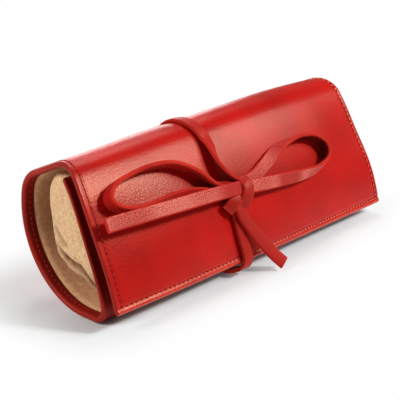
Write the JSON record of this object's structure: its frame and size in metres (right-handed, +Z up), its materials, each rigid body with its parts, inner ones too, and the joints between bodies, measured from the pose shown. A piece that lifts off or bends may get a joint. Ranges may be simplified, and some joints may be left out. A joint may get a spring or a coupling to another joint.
{
  "type": "jewelry roll",
  "caption": "Soft leather roll for jewelry, wound shut with a front flap, a zipped suede pouch inside and a flat leather lace tied in a bow.",
  "frame": {"origin": "middle of the flat strip under the base, on which the roll rests", "axes": "+X along the roll, -Y towards the flap, +Z up"},
  "size_m": [0.21, 0.0806, 0.0765],
  "materials": {
    "red_leather": "smooth, satin",
    "red_lace": "smooth on one side, flesh on the other",
    "suede": "napped suede",
    "pale_suede": "napped suede",
    "zip_cloth": "woven tape",
    "brass": "polished"
  },
  "bodies": {
    "wrap": {"wrap_leather": "red_leather", "wrap_lining": "suede", "tie_back": "red_lace"},
    "roof": {"roof_leather": "red_leather", "roof_lining": "suede", "tie_roof": "red_lace"},
    "flap": {"flap_leather": "red_leather", "flap_lining": "suede", "tie_front_upper": "red_lace", "tie_front_lower": "red_lace", "knot_bead": "red_lace", "knot_band": "red_lace", "knot_stub": "red_lace"},
    "inner": {"inner_panel_leather": "red_leather", "inner_panel_lining": "suede", "pouch_shell": "pale_suede", "zip_tape_front": "zip_cloth", "zip_tape_back": "zip_cloth", "zip_teeth_front": "brass", "zip_teeth_back": "brass", "zip_stop_left": "brass", "zip_stop_right": "brass"},
    "slider": {"zip_slider": "brass", "zip_pull_bridge": "brass"},
    "pull": {"zip_pull": "brass"},
    "bow_left": {"bow_loop_left": "red_lace", "tie_tail_left": "red_lace"},
    "bow_right": {"bow_loop_right": "red_lace"},
    "tail_right": {"tie_tail_right": "red_lace"}
  },
  "joints": [
    {"name": "roof_fold", "type": "hinge", "parent": "wrap", "child": "roof", "pos_m": [0, 0.04553, 0.054], "axis": [-0.9992, -0.0147, 0.0381], "range_deg": [0, 110]},
    {"name": "flap_fold", "type": "hinge", "parent": "roof", "child": "flap", "pos_m": [0, 0.01646, 0.07317], "axis": [-0.9991, -0.0301, -0.0299], "range_deg": [0, 90]},
    {"name": "inner_fold", "type": "hinge", "parent": "wrap", "child": "inner", "pos_m": [0, -0.0093, 0.00307], "axis": [1, 0, 0], "range_deg": [0, 16.5]},
    {"name": "zip_slide", "type": "slide", "parent": "inner", "child": "slider", "axis": [1, 0, 0], "range_m": [0, 0.153]},
    {"name": "pull_swing", "type": "hinge", "parent": "slider", "child": "pull", "pos_m": [-0.0767, 0.0292, 0.04298], "axis": [0, 0.2261, 0.9741], "range_deg": [0, 85]},
    {"name": "bow_left_lift", "type": "hinge", "parent": "flap", "child": "bow_left", "pos_m": [-0.0214, -0.01059, 0.04528], "axis": [0, 0.4493, 0.8934], "range_deg": [0, 25]},
    {"name": "bow_right_lift", "type": "hinge", "parent": "flap", "child": "bow_right", "pos_m": [-0.0076, -0.01109, 0.04381], "axis": [0, -0.4404, -0.8978], "range_deg": [0, 25]},
    {"name": "tail_right_lift", "type": "hinge", "parent": "flap", "child": "tail_right", "pos_m": [-0.0154, -0.01583, 0.03424], "axis": [-0.8287, -0.2115, -0.5182], "range_deg": [0, 40]}
  ],
  "couplings": [
    {"joint": "inner_fold", "follows": "roof_fold", "ratio": 0.15}
  ]
}
